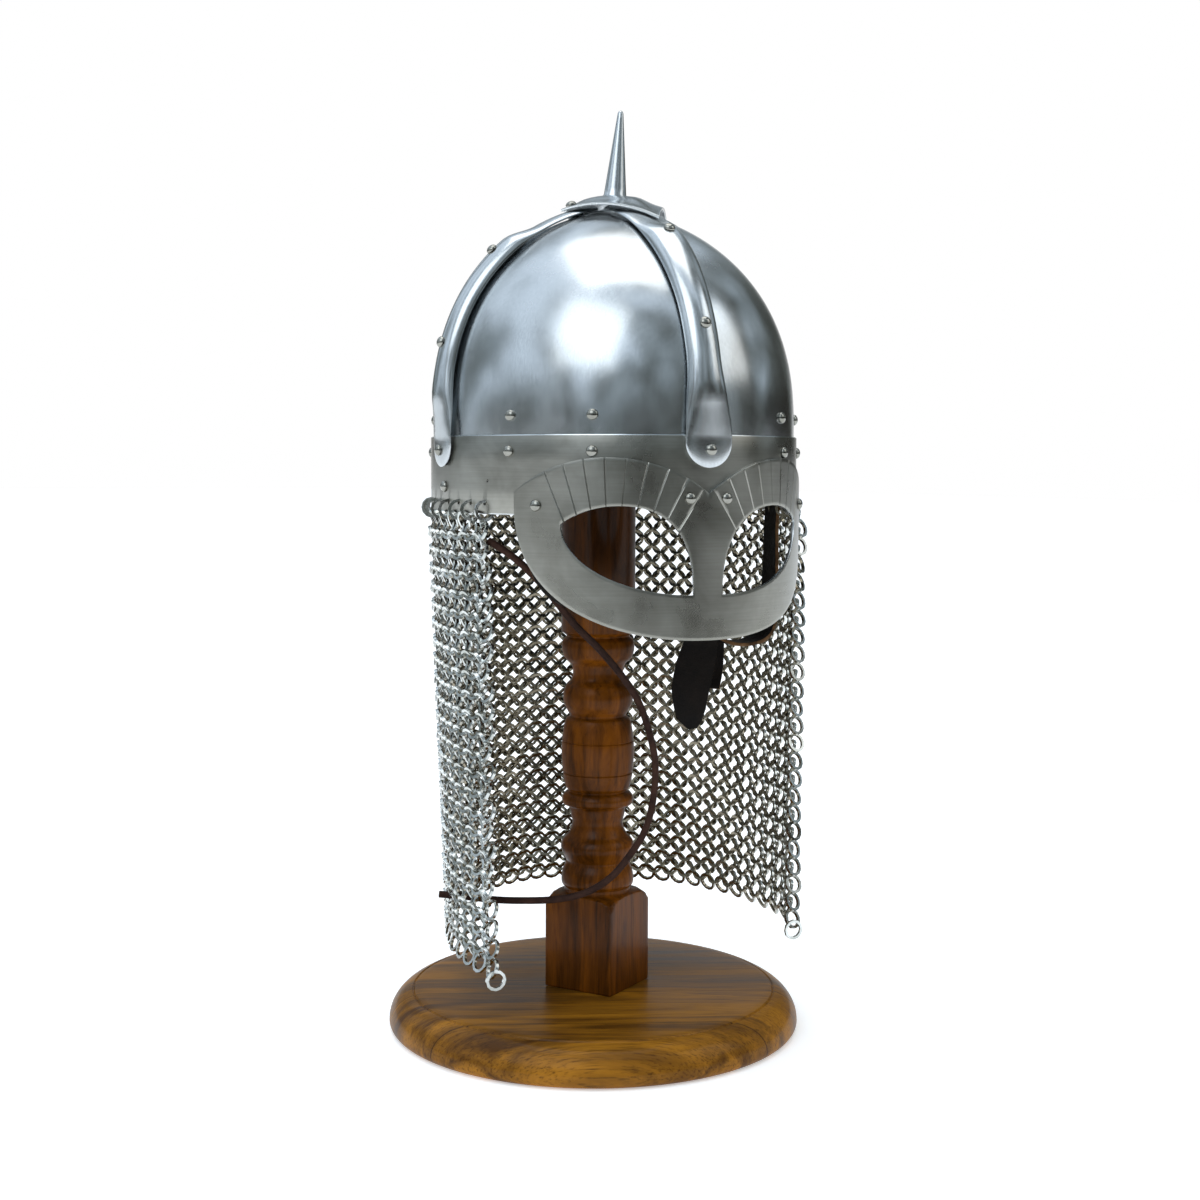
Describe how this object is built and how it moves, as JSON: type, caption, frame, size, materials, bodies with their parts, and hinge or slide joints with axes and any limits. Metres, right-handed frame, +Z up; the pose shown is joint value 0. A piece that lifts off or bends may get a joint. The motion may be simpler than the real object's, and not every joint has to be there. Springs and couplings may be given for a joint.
{
  "type": "spectacle helmet with mail curtain on a wooden stand",
  "caption": "Riveted steel spectacle helmet with spiked crown, brow band, visor, mail curtain and leather chin strap, resting on a turned wooden display stand.",
  "frame": {"origin": "centre of the stand disc's underside, on the floor", "axes": "+Z up, the wearer looks along -Y and the wearer's left is +X"},
  "size_m": [0.24, 0.249, 0.5317],
  "materials": {
    "polished_steel": "satin polished iron, faintly blue-grey",
    "brushed_band_steel": "brushed satin iron with bright cut edges",
    "rivet_steel": "polished domed heads",
    "zinc_mail": "bright zinced wire",
    "strap_leather": "black dyed leather with raw tan edges",
    "thong_leather": "dark brown lace",
    "disc_wood": "golden brown boards, satin lacquer",
    "post_wood": "red-brown turned wood, gloss lacquer"
  },
  "bodies": {
    "root": {"band_rivet_left_1": "rivet_steel", "band_rivet_left_2": "rivet_steel", "band_rivet_left_3": "rivet_steel", "band_rivet_left_4": "rivet_steel", "band_rivet_right_1": "rivet_steel", "band_rivet_right_2": "rivet_steel", "band_rivet_right_3": "rivet_steel", "band_rivet_right_4": "rivet_steel", "bowl": "polished_steel", "brow_band": "brushed_band_steel", "chin_strap": "strap_leather", "chin_tab": "strap_leather", "dome_rivet_left_1": "rivet_steel", "dome_rivet_left_2": "rivet_steel", "dome_rivet_left_3": "rivet_steel", "dome_rivet_left_4": "rivet_steel", "dome_rivet_right_1": "rivet_steel", "dome_rivet_right_2": "rivet_steel", "dome_rivet_right_3": "rivet_steel", "dome_rivet_right_4": "rivet_steel", "finial_plate": "polished_steel", "mail_curtain": "zinc_mail", "plate_rivet_left": "rivet_steel", "plate_rivet_right": "rivet_steel", "rib_back": "polished_steel", "rib_front": "polished_steel", "rib_left": "polished_steel", "rib_right": "polished_steel", "rib_rivet_back_1": "rivet_steel", "rib_rivet_back_2": "rivet_steel", "rib_rivet_back_3": "rivet_steel", "rib_rivet_front_1": "rivet_steel", "rib_rivet_front_2": "rivet_steel", "rib_rivet_front_3": "rivet_steel", "rib_rivet_left_1": "rivet_steel", "rib_rivet_left_2": "rivet_steel", "rib_rivet_left_3": "rivet_steel", "rib_rivet_right_1": "rivet_steel", "rib_rivet_right_2": "rivet_steel", "rib_rivet_right_3": "rivet_steel", "side_rivet_left": "rivet_steel", "side_rivet_right": "rivet_steel", "spike": "polished_steel", "stand_disc": "disc_wood", "stand_post": "post_wood", "thong": "thong_leather", "visor": "brushed_band_steel", "visor_rivet_inner_left": "rivet_steel", "visor_rivet_inner_right": "rivet_steel", "visor_rivet_outer_left": "rivet_steel", "visor_rivet_outer_right": "rivet_steel"}
  },
  "joints": []
}
